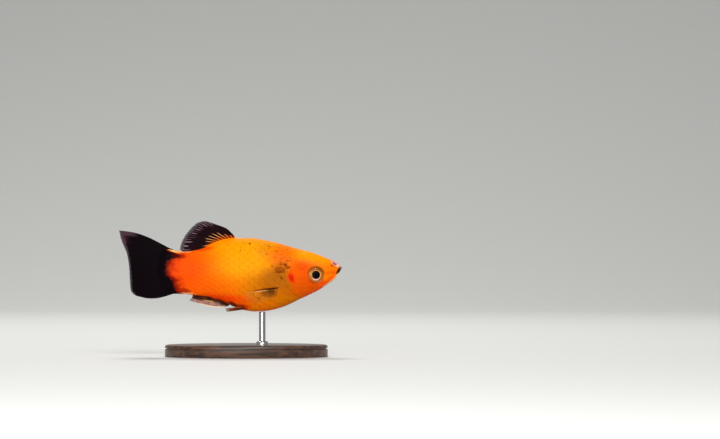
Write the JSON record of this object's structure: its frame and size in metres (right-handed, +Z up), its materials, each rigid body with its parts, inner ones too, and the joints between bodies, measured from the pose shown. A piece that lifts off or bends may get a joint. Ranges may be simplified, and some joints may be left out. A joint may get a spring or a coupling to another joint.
{
  "type": "wagtail platy",
  "caption": "Small deep-bodied aquarium fish, orange with black fins, swimming level on a rod over a flat oval base.",
  "frame": {"origin": "on the floor under the middle of the fish's length, in the plane that halves its head and trunk", "axes": "+X from tail to snout, +Y towards the fish's left side, +Z up"},
  "size_m": [0.0551, 0.024, 0.0333],
  "materials": {
    "orange_skin": "moist, finely scaled skin, orange to yellow",
    "gill_cover_skin": "moist, smooth orange skin",
    "pale_lips": "moist, pale pink skin",
    "eye": "wet and clear over a black pupil and a pale iris",
    "black_fin": "satin, black, clear at the rim",
    "pale_fin": "satin, pale pink, partly clear",
    "clear_fin": "satin and clear",
    "stand_base": "dark walnut, waxed",
    "stand_rod": "polished steel"
  },
  "bodies": {
    "root": {"head": "orange_skin", "torso": "orange_skin", "tail_stock": "orange_skin", "upper_jaw": "pale_lips", "lower_jaw": "pale_lips", "gill_cover_right": "gill_cover_skin", "gill_cover_left": "gill_cover_skin", "eye_right": "eye", "eye_left": "eye", "dorsal_fin": "black_fin", "caudal_fin": "black_fin", "anal_fin": "pale_fin", "pectoral_fin_right": "clear_fin", "pectoral_fin_left": "clear_fin", "pelvic_fin_right": "pale_fin", "pelvic_fin_left": "pale_fin", "stand_base": "stand_base", "stand_rod": "stand_rod"}
  },
  "joints": []
}
